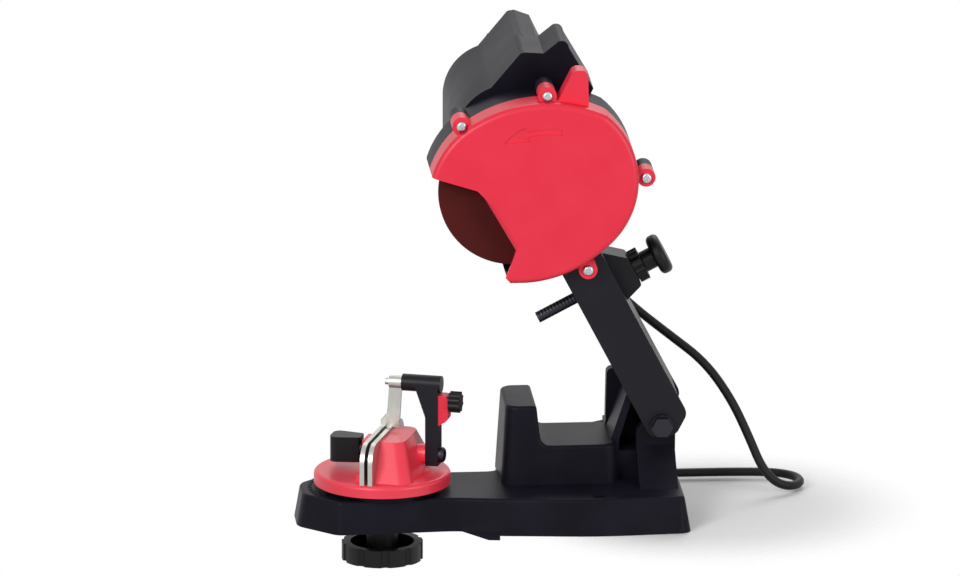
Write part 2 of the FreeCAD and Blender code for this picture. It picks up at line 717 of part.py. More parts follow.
def swing_arm():
    profile = [
        (-ARM_FRONT, -4.0, 7.0), (5.5, -ARM_FRONT, 8.0), (ARM_BACK, -1.0, 8.0),
        (ARM_BACK, ARM_TOP), (-ARM_FRONT, ARM_TOP),
    ]
    body = slab(rounded_loop(profile, arm_nu(ARM_NEAR_Y)), Vector(0, ARM_WIDTH, 0))
    inner_y = ARM_NEAR_Y + ARM_WALL
    hollow = slab(rounded_loop([
        (-ARM_FRONT - 1, -30.0), (ARM_BACK + 1, -30.0), (ARM_BACK + 1, 13.0), (ARM_BACK - ARM_WALL, 17.0),
        (ARM_BACK - ARM_WALL, ARM_HOLLOW_TOP, ARM_CORNER_R), (-ARM_FRONT - 1, ARM_HOLLOW_TOP),
    ], arm_nu(inner_y)), Vector(0, ARM_WIDTH - 2 * ARM_WALL, 0))
    boss = slab(rounded_loop([
        (ARM_BACK - 1, STOP_UP - 16), (STOP_BOSS_OUT, STOP_UP - STOP_BOSS_DROP, 3.0),
        (STOP_BOSS_OUT, STOP_UP + STOP_BOSS_DROP, 3.0), (ARM_BACK - 1, STOP_UP + 24),
    ], arm_nu(STOP_Y - STOP_BOSS_WIDTH / 2)), Vector(0, STOP_BOSS_WIDTH, 0))
    body = body.cut(hollow).fuse(boss)
    guard = slab(guard_outline(ARM_NEAR_Y - 5), Vector(0, HOUSING_Y - ARM_NEAR_Y + 5, 0))
    housing = slab(front_profile(HOUSING_Y), Vector(0, FRONT_HALF_T, 0))
    cuts = [guard, housing, rod(STOP_ROD_D + 2 * RUN_GAP, stop_at(-60), stop_at(80))]
    cuts.append(rod(HINGE_BOLT_D + 2 * RUN_GAP, on_hinge(-100), on_hinge(100)))
    cuts += ear_rods(GUARD_Y, GUARD_Y + SCREW_EAR_T, 2 * SCREW_EAR_R)
    return body.cut(cuts).removeSplitter()


arm = swing_arm()
parts["arm"] = max(arm.Solids, key=lambda solid: solid.Volume)


# Depth stop: a rod through the arm's rear boss, its round knob and a lobed lock nut
nut_n = STOP_BOSS_OUT + MOVE_GAP
hub_n = nut_n + STOP_NUT_T + MOVE_GAP
knob_n = hub_n + STOP_HUB_T
stop_end = knob_n + STOP_KNOB_T / 2
parts["stop_rod"] = rod(STOP_ROD_D, stop_at(-STOP_TIP), stop_at(stop_end))
stop_bore = rod(STOP_ROD_D, stop_at(-STOP_TIP), stop_at(stop_end))
knob_disc = rod(STOP_KNOB_D, stop_at(knob_n), stop_at(knob_n + STOP_KNOB_T))
knob_rims = [e for e in knob_disc.Edges if len(e.Vertexes) == 1 and abs(e.Length - math.pi * STOP_KNOB_D) < 1e-3]
knob_disc = knob_disc.makeFillet(STOP_KNOB_T * 0.4, knob_rims)
parts["stop_knob"] = knob_disc.fuse(rod(STOP_HUB_D, stop_at(hub_n), stop_at(knob_n))).cut(stop_bore).removeSplitter()
parts["stop_lock_nut"] = lobed(STOP_NUT_D, 8, 3.0, stop_at(nut_n), stop_at(nut_n + STOP_NUT_T)).cut(
    rod(STOP_ROD_D + 2 * RUN_GAP, stop_at(nut_n - 1), stop_at(nut_n + STOP_NUT_T + 1)))


# Wheel cover: a red shell with four screw ears, a horn on top and a shallow arrow in its face
def wheel_room():
    """The space that the turning wheel keeps clear in the cover and the guard ring."""
    return rod(WHEEL_D + 2 * WHEEL_ROOM, on_axis(COVER_Y + COVER_WALL), on_axis(HOUSING_Y - PARTITION_T))


def wheel_cover():
    outer = slab(guard_outline(COVER_Y), Vector(0, COVER_DEPTH, 0))
    outer = outer.cut(guard_cutout(COVER_Y - 1, COVER_DEPTH + 2))
    rim = [e for e in outer.Edges if e.BoundBox.YMax < COVER_Y + 1e-3 and e.Length > 30]
    outer = outer.makeFillet(COVER_EDGE_R, rim)
    tip_x, tip_z = beyond_rim(*HORN_TIP)
    horn = slab(rounded_loop([
        beyond_rim(*HORN_ROOT[0]), (tip_x - HORN_TIP_R, tip_z + HORN_TIP_R, HORN_TIP_R),
        (tip_x + HORN_TIP_R, tip_z + HORN_TIP_R, HORN_TIP_R), beyond_rim(*HORN_ROOT[1]),
    ], head_xz(GUARD_Y - SCREW_EAR_T)), Vector(0, SCREW_EAR_T, 0))
    body = outer.fuse([horn] + ear_rods(GUARD_Y - SCREW_EAR_T, GUARD_Y, 2 * SCREW_EAR_R))
    inner = guard_outline(COVER_Y + COVER_WALL).makeOffset2D(-COVER_WALL)
    arrow = slab(arc_loop((-8.0, 38.9), [
        (-2.0, 45.2, 6.1, 50.1), (8.1, 47.4), (20.5, 49.0, 33.0, 48.4), (33.0, 44.2),
        (20.5, 44.9, 8.8, 43.3), (10.1, 40.3),
    ], head_xz(COVER_Y - 1)), Vector(0, 1 + ARROW_DEPTH, 0))
    cuts = [slab(inner, Vector(0, COVER_DEPTH, 0)), arrow, wheel_room()]
    cuts += ear_rods(COVER_Y, GUARD_Y + 1, EAR_HOLE_D)
    cuts += ear_rods(COVER_Y - 1, GUARD_Y - SCREW_EAR_T, SCREW_HEAD_D + 1)
    return body.cut(cuts).removeSplitter()


parts["wheel_cover"] = wheel_cover()
screw_face = GUARD_Y - SCREW_EAR_T
screw_d = EAR_HOLE_D - 2 * SEAT_GAP
parts["cover_screws"] = Part.makeCompound([
    pan_screw(head_xz(screw_face)(*beyond_rim(*ear)), Y_AXIS, SCREW_HEAD_D, SCREW_HEAD_T, screw_d, SCREW_LENGTH)
    for ear in SCREW_EARS])


# Motor housing: the front half carries the guard ring, the rear half the stator, vents, switch and cord
FRONT_BEARING_Y = HOUSING_Y - PARTITION_T + 1
REAR_BEARING_Y = HOUSING_END_Y - HOUSING_WALL - 2 - BEARING_T
side_x = (BARREL_R + 3) * math.cos(math.radians(15))
side_z = (BARREL_R + 3) * math.sin(math.radians(15))
shoulder_boss = (SHOULDER_IN - BARREL_R + 8.5, SHOULDER_RISE + 1.2)
HOUSING_SCREWS = [(-side_x, -side_z), (side_x, -side_z), shoulder_boss, (14.0, 85.0)]


def housing_bosses(start_y, end_y, diameter):
    return [rod(diameter, head_xz(start_y)(*spot), head_xz(end_y)(*spot)) for spot in HOUSING_SCREWS]


def front_housing():
    cut_depth = GUARD_DEPTH + 1
    ring = slab(guard_outline(GUARD_Y), Vector(0, GUARD_DEPTH, 0)).cut(guard_cutout(GUARD_Y - 1, cut_depth))
    inner = guard_outline(GUARD_Y - 1).makeOffset2D(-COVER_WALL)
    pocket = slab(inner, Vector(0, GUARD_DEPTH + 1 - PARTITION_T, 0))
    ring = ring.cut(pocket).fuse(ear_rods(GUARD_Y, GUARD_Y + SCREW_EAR_T, 2 * SCREW_EAR_R))
    shell = slab(front_profile(HOUSING_Y), Vector(0, FRONT_HALF_T, 0))
    room = front_profile(HOUSING_Y + HOUSING_WALL).makeOffset2D(-HOUSING_WALL)
    shell = shell.cut(slab(room, Vector(0, FRONT_HALF_T, 0)))
    seat = rod(BEARING_D + 8, on_axis(FRONT_BEARING_Y - 1), on_axis(FRONT_BEARING_Y + BEARING_T + 1))
    body = ring.fuse([shell, seat] + housing_bosses(SEAM_Y - 16, SEAM_Y, 11.0))
    cuts = [wheel_room()] + ear_rods(GUARD_Y - 1, GUARD_Y + SCREW_LENGTH - SCREW_EAR_T + 1, EAR_HOLE_D)
    cuts += housing_bosses(SEAM_Y - 13, SEAM_Y + 1, HOUSING_SCREW_D + 2 * SEAT_GAP)
    cuts.append(rod(BEARING_D + 2 * SEAT_GAP, on_axis(FRONT_BEARING_Y), on_axis(FRONT_BEARING_Y + 30)))
    cuts.append(rod(SHAFT_D + 4, on_axis(GUARD_Y), on_axis(SEAM_Y)))
    return body.cut(cuts).removeSplitter()


def switch_box(grow, start_y, end_y):
    dx, dz = SWITCH_POS
    half_w = SWITCH_WIDTH / 2 + grow
    half_h = SWITCH_HEIGHT / 2 + grow
    x = WHEEL_X + dx
    z = WHEEL_Z + dz
    return block(x - half_w, x + half_w, start_y, end_y, z - half_h, z + half_h)


def relief_at(out):
    turn = math.radians(RELIEF_ANGLE)
    return Vector(WHEEL_X + out * math.cos(turn), RELIEF_Y, WHEEL_Z + out * math.sin(turn))


def rear_housing():
    shell = slab(rear_profile(SEAM_Y), Vector(0, REAR_HALF_T, 0))
    rim = [e for e in shell.Edges if e.BoundBox.YMin > HOUSING_END_Y - 1e-3]
    shell = shell.makeFillet(2.0, rim)
    room = rear_profile(SEAM_Y - 1).makeOffset2D(-HOUSING_WALL)
    shell = shell.cut(slab(room, Vector(0, REAR_HALF_T + 1 - HOUSING_WALL, 0)))
    seat = rod(BEARING_D + 8, on_axis(REAR_BEARING_Y), on_axis(HOUSING_END_Y - 1))
    body = shell.fuse([seat] + housing_bosses(SEAM_Y, HOUSING_END_Y - 4, 11.0))
    cuts = [rod(BEARING_D + 2 * SEAT_GAP, on_axis(REAR_BEARING_Y - 1), on_axis(REAR_BEARING_Y + BEARING_T))]
    cuts += housing_bosses(SEAM_Y - 1, HOUSING_END_Y + 1, HOUSING_SCREW_D + 2 * SEAT_GAP)
    cuts += housing_bosses(HOUSING_END_Y - HOUSING_SCREW_SINK, HOUSING_END_Y + 1, HOUSING_SCREW_HEAD_D + 1)
    cuts.append(rod(2 * (BARREL_R - SEAM_STEP - HOUSING_WALL), on_axis(SEAM_Y - 1), on_axis(SEAM_Y + 48)))
    cuts.append(switch_box(SEAT_GAP, HOUSING_END_Y - 8, HOUSING_END_Y + 1))
    cuts.append(rod(RELIEF_BASE_D - 4 + 2 * SEAT_GAP, relief_at(20), relief_at(60)))
    for i in range(VENT_COUNT):
        turn = 360.0 * i / VENT_COUNT
        vent = block(-VENT_WIDTH / 2, VENT_WIDTH / 2, HOUSING_END_Y - 4, HOUSING_END_Y + 1, 18.0, 29.0)
        vent.rotate(Vector(0, 0, 0), Y_AXIS, turn)
        vent.translate(Vector(WHEEL_X, 0, WHEEL_Z))
        cuts.append(vent)
    return body.cut(cuts).removeSplitter()


parts["front_housing"] = front_housing()
parts["rear_housing"] = rear_housing()
parts["housing_screws"] = Part.makeCompound([
    pan_screw(head_xz(HOUSING_END_Y - HOUSING_SCREW_SINK)(*spot), -Y_AXIS,
              HOUSING_SCREW_HEAD_D, HOUSING_SCREW_HEAD_T, HOUSING_SCREW_D, REAR_HALF_T)
    for spot in HOUSING_SCREWS])


# Arbor and motor: everything that turns with the shaft, then the bearings, stator and brushes round it
wheel_front = WHEEL_Y - WHEEL_T / 2
wheel_back = WHEEL_Y + WHEEL_T / 2
nut_front = wheel_front - OUTER_FLANGE_T - ARBOR_NUT_T
shaft_bore = SHAFT_D + 2 * SEAT_GAP
STATOR_Y = SEAM_Y + 3
ROTOR_Y = STATOR_Y + (STATOR_T - ROTOR_T) / 2 - 5
COMMUTATOR_Y = ROTOR_Y + ROTOR_T + 1
FAN_Y = SEAM_Y - 12
parts["motor_shaft"] = rod(SHAFT_D, on_axis(nut_front - SHAFT_SPARE), on_axis(REAR_BEARING_Y + BEARING_T))
parts["grinding_wheel"] = tube(WHEEL_D, WHEEL_BORE, on_axis(wheel_front), on_axis(wheel_back))
parts["inner_flange"] = rod(ARBOR_FLANGE_D, on_axis(wheel_back), on_axis(wheel_back + INNER_FLANGE_T)).fuse(
    rod(WHEEL_BORE - 2 * SEAT_GAP, on_axis(wheel_front), on_axis(wheel_back))).cut(
    rod(shaft_bore, on_axis(wheel_front - 1), on_axis(wheel_back + 9))).removeSplitter()
parts["outer_flange"] = tube(ARBOR_FLANGE_D, shaft_bore, on_axis(wheel_front - OUTER_FLANGE_T), on_axis(wheel_front))
parts["arbor_nut"] = hexagon(ARBOR_NUT_ACROSS, on_axis(nut_front), on_axis(nut_front + ARBOR_NUT_T)).cut(
    rod(shaft_bore, on_axis(nut_front - 1), on_axis(nut_front + 9)))
parts["armature"] = tube(ROTOR_D, shaft_bore, on_axis(ROTOR_Y), on_axis(ROTOR_Y + ROTOR_T))
parts["commutator"] = tube(COMMUTATOR_D, shaft_bore, on_axis(COMMUTATOR_Y), on_axis(COMMUTATOR_Y + COMMUTATOR_T))


def cooling_fan():
    blades = []
    for i in range(FAN_BLADES):
        blade = block(-0.8, 0.8, FAN_Y, FAN_Y + FAN_T, 9.0, FAN_D / 2)
        blade.rotate(Vector(0, 0, 0), Y_AXIS, 360.0 * i / FAN_BLADES)
        blade.translate(Vector(WHEEL_X, 0, WHEEL_Z))
        blades.append(blade)
    hub = rod(20.0, on_axis(FAN_Y), on_axis(FAN_Y + FAN_T))
    disc = rod(FAN_D, on_axis(FAN_Y + FAN_T - 1.5), on_axis(FAN_Y + FAN_T))
    return hub.fuse([disc] + blades).cut(rod(shaft_bore, on_axis(FAN_Y - 1), on_axis(FAN_Y + 20))).removeSplitter()


parts["cooling_fan"] = cooling_fan()
for name, y in (("front_bearing", FRONT_BEARING_Y), ("rear_bearing", REAR_BEARING_Y)):
    parts[name] = tube(BEARING_D, SHAFT_D + 2 * RUN_GAP, on_axis(y), on_axis(y + BEARING_T))
stator_d = 2 * (BARREL_R - SEAM_STEP - HOUSING_WALL - SEAT_GAP)
parts["stator"] = tube(stator_d, ROTOR_D + 2 * AIR_GAP, on_axis(STATOR_Y), on_axis(STATOR_Y + STATOR_T - 9))
brush_y = COMMUTATOR_Y + 3
plate_y = brush_y + BRUSH_WIDTH
parts["brush_plate"] = tube(stator_d, COMMUTATOR_D + 6, on_axis(plate_y), on_axis(plate_y + 3))
brushes = []
for side in (-1, 1):
    near = side * (COMMUTATOR_D / 2 + MOVE_GAP)
    far = near + side * BRUSH_LENGTH
    left = WHEEL_X + min(near, far)
    half = BRUSH_WIDTH / 2
    brushes.append(block(left, left + BRUSH_LENGTH, brush_y, plate_y, WHEEL_Z - half, WHEEL_Z + half))
parts["brushes"] = Part.makeCompound(brushes)


# Power switch in the rear wall with a tilting rocker, and the cord's strain relief
switch_face = HOUSING_END_Y
parts["power_switch"] = switch_box(0, switch_face - SWITCH_DEPTH, switch_face).fuse(
    switch_box(SWITCH_BEZEL, switch_face, switch_face + 1.5)).cut(
    switch_box(-2.0, switch_face - 8, switch_face + 2)).removeSplitter()
rocker = switch_box(-2.0 - MOVE_GAP, switch_face - 4, switch_face + 3.5)
ROCKER_PIVOT = Vector(WHEEL_X + SWITCH_POS[0], switch_face - 1, WHEEL_Z + SWITCH_POS[1])
parts["switch_rocker"] = rocker.common(rod(SWITCH_HEIGHT - 5, ROCKER_PIVOT - X_AXIS * 20, ROCKER_PIVOT + X_AXIS * 20))
barrel_skin = BARREL_R - SEAM_STEP
relief_end = barrel_skin + RELIEF_LENGTH
relief_axis = relief_at(1) - relief_at(0)
relief = Part.makeCone(RELIEF_BASE_D / 2, RELIEF_TIP_D / 2, RELIEF_LENGTH, relief_at(barrel_skin), relief_axis)
relief = relief.fuse(rod(RELIEF_BASE_D - 4, relief_at(barrel_skin - HOUSING_WALL), relief_at(barrel_skin)))
parts["strain_relief"] = relief.removeSplitter()


# Vise, drawn square to its rails and then turned to its place: local x across the rails, local y along them
def vise_set(shape):
    placed = shape.copy()
    placed.rotate(Vector(0, 0, 0), Z_AXIS, -VISE_TURN)
    placed.translate(Vector(VISE_X, WHEEL_Y, 0))
    return placed


def across(x, y, z):
    return Vector(x, y, z)


rail_out = RAIL_GAP / 2 + RAIL_T
rail_screw_spots = [(side * RAIL_SCREW_SPREAD * 0.7, RAIL_SCREW_Z) for side in (-1, 1)]
rail_holes = [rod(RAIL_SCREW_D + 2 * SEAT_GAP, across(-20, y, z), across(16, y, z)) for y, z in rail_screw_spots]


def turntable():
    disc = rod(DISC_D, across(0, 0, DISC_Z), across(0, 0, DISC_TOP))
    rim = [e for e in disc.Edges if len(e.Vertexes) == 1 and e.BoundBox.ZMin > DISC_TOP - 1e-3]
    disc = disc.makeFillet(DISC_EDGE_R, rim)
    half_low = HUMP_LENGTH / 2
    half_top = HUMP_TOP_LENGTH / 2
    low = rounded_loop([(rail_out, -half_low), (HUMP_OUT, -half_low, 9.0), (HUMP_OUT, half_low, 9.0),
                        (rail_out, half_low)], base_xy(DISC_TOP - 1))
    top = rounded_loop([(rail_out, -half_top), (HUMP_TOP_OUT, -half_top, 9.0), (HUMP_TOP_OUT, half_top, 9.0),
                        (rail_out, half_top)], base_xy(RAIL_TOP - HUMP_DROP))
    hump = Part.makeLoft([low, top], True, True)
    post = block(-12.0, -6.0, -9.0, 9.0, DISC_TOP - 1, CLAMP_Z + 8)
    ledge = block(-9.0, -rail_out, -half_low, half_low, DISC_TOP - 1, DISC_TOP + 5)
    boss = rod(14.0, across(12, BRACKET_ALONG, BRACKET_BOLT_Z), across(BRACKET_X, BRACKET_ALONG, BRACKET_BOLT_Z))
    body = disc.fuse([hump, post, ledge, boss])
    cuts = list(rail_holes)
    cuts.append(rod(CLAMP_SCREW_D + 2 * RUN_GAP, across(-20, 0, CLAMP_Z), across(-rail_out, 0, CLAMP_Z)))
    bolt_z = BRACKET_BOLT_Z
    cuts.append(rod(BRACKET_BOLT_D + 2 * SEAT_GAP, across(14, BRACKET_ALONG, bolt_z), across(60, BRACKET_ALONG, bolt_z)))
    cuts.append(rod(STUD_D, across(0, 0, DISC_Z - 1), across(0, 0, DISC_Z + 6)))
    return body.cut(cuts).removeSplitter()


def rail(side):
    inner = side * RAIL_GAP / 2
    half = RAIL_LENGTH / 2
    plate = slab(rounded_loop([
        (-half, DISC_TOP), (half, DISC_TOP), (half, RAIL_TOP, RAIL_CORNER_R), (-half, RAIL_TOP, RAIL_CORNER_R),
    ], lambda y, z: across(inner, y, z)), Vector(side * RAIL_T, 0, 0))
    return plate.cut(rail_holes)


def clamp_knob():
    hub_x = -12.0 - MOVE_GAP
    hub = rod(CLAMP_HUB_D, across(hub_x - CLAMP_HUB_T, 0, CLAMP_Z), across(hub_x, 0, CLAMP_Z))
    wing = slab(rounded_loop([
        (hub_x - CLAMP_HUB_T + 1, -CLAMP_HUB_D / 2, 2.0), (hub_x - CLAMP_HUB_T - CLAMP_WING_OUT, -CLAMP_WING / 2, 5.0),
        (hub_x - CLAMP_HUB_T - CLAMP_WING_OUT, CLAMP_WING / 2, 5.0), (hub_x - CLAMP_HUB_T + 1, CLAMP_HUB_D / 2, 2.0),
    ], base_xy(CLAMP_Z - CLAMP_WING_T / 2)), Vector(0, 0, CLAMP_WING_T))
    screw = rod(CLAMP_SCREW_D, across(hub_x - CLAMP_HUB_T, 0, CLAMP_Z), across(-rail_out - MOVE_GAP, 0, CLAMP_Z))
    return hub.fuse(wing).cut(screw).removeSplitter(), screw


def bracket():
    half = BRACKET_WIDTH / 2
    y = BRACKET_ALONG
    upright = block(BRACKET_X, BRACKET_X + BRACKET_T, y - half, y + half, BRACKET_FOOT_Z, BARREL_Z)
    barrel = rod(BARREL_D, across(BARREL_START, y, BARREL_Z), across(BRACKET_X + BRACKET_T + 1.5, y, BARREL_Z))
    gusset = slab(rounded_loop([
        (BRACKET_X - GUSSET_OUT, BARREL_Z), (BRACKET_X + 1, BARREL_Z), (BRACKET_X + 1, BARREL_Z - GUSSET_DROP),
    ], lambda x, z: across(x, y - half, z)), Vector(0, BRACKET_WIDTH, 0))
    bolt = rod(BRACKET_BOLT_D + 2 * SEAT_GAP, across(0, y, BRACKET_BOLT_Z), across(60, y, BRACKET_BOLT_Z))
    pin = rod(PAWL_PIN_D, across(0, y, BARREL_Z), across(BARREL_START + 10, y, BARREL_Z))
    return upright.fuse([barrel, gusset]).cut([bolt, pin]).removeSplitter()


pawl_right = BARREL_START - MOVE_GAP
pawl_left = pawl_right - PAWL_WIDTH


def chain_stop():
    y = BRACKET_ALONG
    foot = RAIL_TOP + PAWL_LIFT_GAP
    foot_left = PAWL_FOOT_RIGHT - PAWL_FOOT_WIDTH
    plate = slab(rounded_loop([
        (pawl_left, BARREL_Z), (PAWL_FOOT_RIGHT - PAWL_WIDTH, foot + 2 * PAWL_FOOT_HEIGHT),
        (foot_left, foot + PAWL_FOOT_HEIGHT, 1.5), (foot_left, foot), (PAWL_FOOT_RIGHT, foot),
        (PAWL_FOOT_RIGHT, foot + PAWL_FOOT_HEIGHT), (pawl_right, BARREL_Z),
    ], lambda x, z: across(x, y - PAWL_T / 2, z)), Vector(0, PAWL_T, 0))
    knuckle = rod(PAWL_PIN_D + 4, across(pawl_left, y, BARREL_Z), across(pawl_right, y, BARREL_Z))
    bore = rod(PAWL_PIN_D + 2 * RUN_GAP, across(-20, y, BARREL_Z), across(20, y, BARREL_Z))
    return plate.fuse(knuckle).cut(bore).removeSplitter()


parts["turntable"] = vise_set(turntable())
parts["rail_left"] = vise_set(rail(-1))
parts["rail_right"] = vise_set(rail(1))
parts["rail_screws"] = vise_set(Part.makeCompound([
    pan_screw(across(-rail_out, y, z), X_AXIS, RAIL_SCREW_HEAD_D, RAIL_SCREW_HEAD_T, RAIL_SCREW_D,
              RAIL_SCREW_LENGTH)
    for y, z in rail_screw_spots]))
clamp, clamp_screw = clamp_knob()
parts["clamp_knob"] = vise_set(clamp)
parts["clamp_screw"] = vise_set(clamp_screw)
parts["bracket"] = vise_set(bracket())
bracket_face = BRACKET_X + BRACKET_T
parts["bracket_bolt"] = vise_set(pan_screw(across(bracket_face, BRACKET_ALONG, BRACKET_BOLT_Z), -X_AXIS,
                                           BRACKET_HEAD_D, BRACKET_HEAD_T, BRACKET_BOLT_D,
                                           BRACKET_BOLT_LENGTH))
parts["chain_stop"] = vise_set(chain_stop())
parts["chain_stop_pin"] = vise_set(rod(PAWL_PIN_D, across(pawl_left - 3, BRACKET_ALONG, BARREL_Z),
                                       across(BARREL_START + 10, BRACKET_ALONG, BARREL_Z)))
half_adjuster = ADJUSTER_WIDTH / 2
adjuster_screw = rod(ADJUSTER_SCREW_D, across(bracket_face + 0.5, BRACKET_ALONG, ADJUSTER_KNOB_Z),
                     across(bracket_face + ADJUSTER_T + 4, BRACKET_ALONG, ADJUSTER_KNOB_Z))
adjuster_hole = rod(ADJUSTER_SCREW_D + 2 * RUN_GAP, across(bracket_face, BRACKET_ALONG, ADJUSTER_KNOB_Z),
                    across(bracket_face + 30, BRACKET_ALONG, ADJUSTER_KNOB_Z))
adjuster_low = ADJUSTER_Z - ADJUSTER_HEIGHT / 2
adjuster_high = ADJUSTER_Z + ADJUSTER_HEIGHT / 2
adjuster_out = bracket_face + ADJUSTER_T
parts["adjuster_block"] = vise_set(slab(rounded_loop([
    (bracket_face, adjuster_low), (adjuster_out, adjuster_low + 4, 5.0), (adjuster_out, adjuster_high, 5.0),
    (bracket_face, adjuster_high),
], lambda x, z: across(x, BRACKET_ALONG - half_adjuster, z)), Vector(0, ADJUSTER_WIDTH, 0)).cut(adjuster_hole))
knob_x = bracket_face + ADJUSTER_T + MOVE_GAP
parts["adjuster_knob"] = vise_set(lobed(ADJUSTER_KNOB_D, 8, 3.0, across(knob_x, BRACKET_ALONG, ADJUSTER_KNOB_Z),
                                        across(knob_x + ADJUSTER_KNOB_T, BRACKET_ALONG, ADJUSTER_KNOB_Z)).fuse(
    adjuster_screw).removeSplitter())


# Vise lock: a stud down through the nose, a washer and a lobed knob
def under_vise(z):
    return Vector(VISE_X, WHEEL_Y, z)


washer_z = FRONT_LIFT - WASHER_T
hub_top = washer_z - MOVE_GAP
rim_top = KNOB_BOTTOM + KNOB_RIM_T
parts["vise_stud"] = rod(STUD_D, under_vise(KNOB_BOTTOM + 4), under_vise(DISC_Z + 6))
parts["stud_washer"] = tube(STUD_WASHER_D, STUD_D + 2 * RUN_GAP, under_vise(washer_z), under_vise(FRONT_LIFT))
rim = lobed(KNOB_D, KNOB_LOBES, KNOB_LOBE_R, under_vise(KNOB_BOTTOM), under_vise(rim_top))
cup = tube(KNOB_D - 4 * KNOB_WALL, KNOB_HUB_D, under_vise(KNOB_BOTTOM + KNOB_WALL), under_vise(rim_top))
rim = rim.cut(cup)
parts["vise_knob"] = rim.fuse(rod(KNOB_HUB_D, under_vise(rim_top - 1), under_vise(hub_top))).cut(
    rod(STUD_D + 2 * RUN_GAP, under_vise(KNOB_BOTTOM - 1), under_vise(hub_top + 1))).removeSplitter()


# Power cord: straight runs with tangent arcs to the bench, then two wound layers, a tie and the plug
def rounded_run(points):
    edges = []
    here = points[0]
    for i in range(1, len(points) - 1):
        corner = points[i]
        back = points[i - 1] - corner
        ahead = points[i + 1] - corner
        half = back.getAngle(ahead) / 2
        reach = 0.45 * min(back.Length, ahead.Length)
        radius = reach * math.tan(half)
        into = corner + back / back.Length * reach
        out = corner + ahead / ahead.Length * reach
        bisector = back / back.Length + ahead / ahead.Length
        middle = corner + bisector / bisector.Length * (radius / math.sin(half) - radius)
        edges.append(Part.LineSegment(here, into).toShape())
        edges.append(Part.Arc(into, middle, out).toShape())
        print("cord bend radius", round(radius, 1))
        here = out
    edges.append(Part.LineSegment(here, points[-1]).toShape())
    return edges


coil_z = CORD_D / 2 + COIL_LIFT
half_turns = 2 * COIL_TURNS


def coil_spot(step):
    """Half turn number `step`: inward on the bench, half a turn of climb, then outward on top."""
    if step <= half_turns:
        radius = COIL_OUTER_R - COIL_STEP * step / 2
        slope = -COIL_STEP / 2
        z = coil_z
    else:
        radius = COIL_INNER_R + COIL_STEP * (step - half_turns - 1) / 2
        slope = COIL_STEP / 2
        z = coil_z + COIL_LAYER
    if step in (0, half_turns, half_turns + 1):
        slope = 0.0
    turn = -math.pi / 2 - math.pi * step
    spot = Vector(COIL_X + radius * math.cos(turn), COIL_Y + radius * math.sin(turn), z)
    heading = Vector(slope * math.cos(turn) + math.pi * radius * math.sin(turn),
                     slope * math.sin(turn) - math.pi * radius * math.cos(turn), 0)
    return spot, heading / heading.Length


coil_edges = []
last_step = 2 * half_turns + 1
for i in range(last_step):
    coil_edges += biarc(*coil_spot(i), *coil_spot(i + 1))
coil_end, coil_dir = coil_spot(last_step)
plug_start = coil_end + coil_dir * COIL_TAIL
coil_edges.append(Part.LineSegment(coil_end, plug_start).toShape())
coil_start, coil_heading = coil_spot(0)
free_points = [relief_at(relief_end + MOVE_GAP)] + [Vector(*point) for point in CORD_FREE] + [coil_start]
free_edges = rounded_run(free_points)
parts["cord_free"] = swept(free_edges, CORD_D)
parts["cord_coil"] = swept(coil_edges, CORD_D)
free_length = sum(e.Length for e in free_edges)
coil_length = sum(e.Length for e in coil_edges)
area = math.pi * CORD_D ** 2 / 4
print("cord free length", round(free_length), "volume ratio", round(parts["cord_free"].Volume / free_length / area, 4))
print("cord coil length", round(coil_length), "volume ratio", round(parts["cord_coil"].Volume / coil_length / area, 4))
print("cord coil gap", round(least_self_gap(coil_edges, CORD_D, 60), 2))
tie_in = COIL_INNER_R - CORD_D / 2 - 3
tie_out = COIL_OUTER_R + CORD_D / 2 + 3
tie_low = coil_z - CORD_D / 2 - 0.2
tie_high = coil_z + COIL_LAYER + CORD_D / 2 + 0.2
tie_y = COIL_Y - TIE_WIDTH / 2
tie_room = block(COIL_X + tie_in, COIL_X + tie_out, tie_y - 1, tie_y + TIE_WIDTH + 1, tie_low, tie_high)
parts["cord_tie"] = block(COIL_X + tie_in - TIE_T, COIL_X + tie_out + TIE_T, tie_y, tie_y + TIE_WIDTH,
                          tie_low - TIE_T, tie_high + TIE_T).cut(tie_room)


def plug_shapes():
    """The plug drawn along +X from the cord's end, then turned to the cord's heading."""
    neck = Part.makeCone(CORD_D / 2 + 1, PLUG_HEIGHT / 2 - 0.5, PLUG_NECK, Vector(0, 0, 0), X_AXIS)
    half_w = PLUG_WIDTH / 2
    half_h = PLUG_HEIGHT / 2
    body = block(PLUG_NECK - 1, PLUG_NECK + PLUG_LENGTH, -half_w, half_w, -half_h, half_h)
    body = body.makeFillet(3.0, [e for e in body.Edges if e.BoundBox.XLength > 10])
    face_x = PLUG_NECK + PLUG_LENGTH
    pins = Part.makeCompound([
        rod(PIN_D, Vector(face_x, s * PIN_SPACING / 2, 0), Vector(face_x + PIN_LENGTH, s * PIN_SPACING / 2, 0))
        for s in (-1, 1)])
    turn = math.degrees(math.atan2(coil_dir.y, coil_dir.x))
    placed = []
    for shape in (neck.fuse(body).removeSplitter(), pins):
        shape.rotate(Vector(0, 0, 0), Z_AXIS, turn)
        shape.translate(plug_start)
        placed.append(shape)
    return placed


parts["plug_body"], parts["plug_pins"] = plug_shapes()

for name, shape in parts.items():
    shape.exportStep("parts/" + name + ".step")
    box = shape.BoundBox
    print(name, len(shape.Solids), shape.isValid(), round(shape.Volume), round(box.XMin), round(box.XMax),
          round(box.YMin), round(box.YMax), round(box.ZMin), round(box.ZMax))
